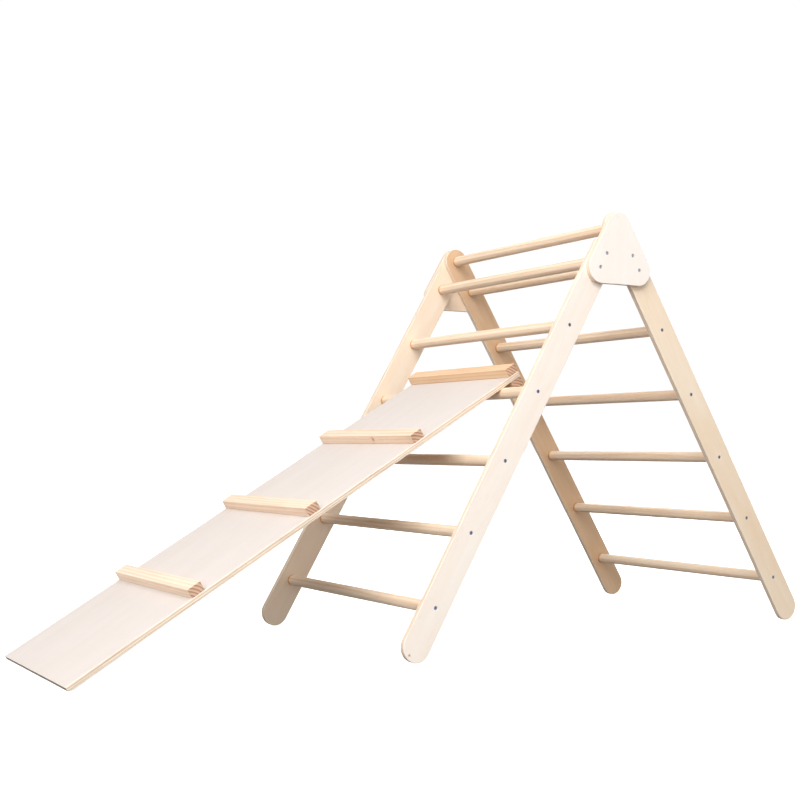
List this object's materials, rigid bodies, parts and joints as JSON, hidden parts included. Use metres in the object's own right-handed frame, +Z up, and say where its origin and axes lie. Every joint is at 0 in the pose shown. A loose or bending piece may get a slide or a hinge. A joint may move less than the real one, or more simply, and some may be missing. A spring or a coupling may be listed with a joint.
{
  "type": "climbing triangle with ramp",
  "caption": "Wooden toddler climbing triangle: two rung ladders joined at a shared top rung by side plates, with a cleated climbing ramp hooked over one rung.",
  "frame": {"origin": "on the floor, under the middle of the whole footprint, ramp included", "axes": "+X from the ramp's foot towards the rear legs, +Y along the rungs to the left of a child going up the ramp, +Z up"},
  "size_m": [1.7649, 0.656, 0.9417],
  "materials": {
    "birch_ply": "smooth clear satin birch plywood",
    "pine": "smooth clear satin pine",
    "screw_steel": "dark plated socket-head screw"
  },
  "bodies": {
    "frame": {"front_rail_right": "birch_ply", "front_rail_left": "birch_ply", "rear_rail_right": "birch_ply", "rear_rail_left": "birch_ply", "apex_plate_right": "birch_ply", "apex_plate_left": "birch_ply", "front_rung_1": "pine", "front_rung_2": "pine", "front_rung_3": "pine", "front_rung_4": "pine", "front_rung_5": "pine", "front_rung_6": "pine", "rear_rung_1": "pine", "rear_rung_2": "pine", "rear_rung_3": "pine", "rear_rung_4": "pine", "rear_rung_5": "pine", "rear_rung_6": "pine", "top_rung": "pine", "rung_screws_right": "screw_steel", "rung_screws_left": "screw_steel", "plate_screws_right": "screw_steel", "plate_screws_left": "screw_steel"},
    "ramp": {"ramp_board": "birch_ply", "ramp_cleat_1": "pine", "ramp_cleat_2": "pine", "ramp_cleat_3": "pine", "ramp_cleat_4": "pine", "hook_batten": "pine"}
  },
  "joints": [
    {"name": "ramp_tilt", "type": "hinge", "parent": "frame", "child": "ramp", "pos_m": [0.09302, 0, 0.5409], "axis": [0, 1, 0], "range_deg": [0, 30]}
  ]
}
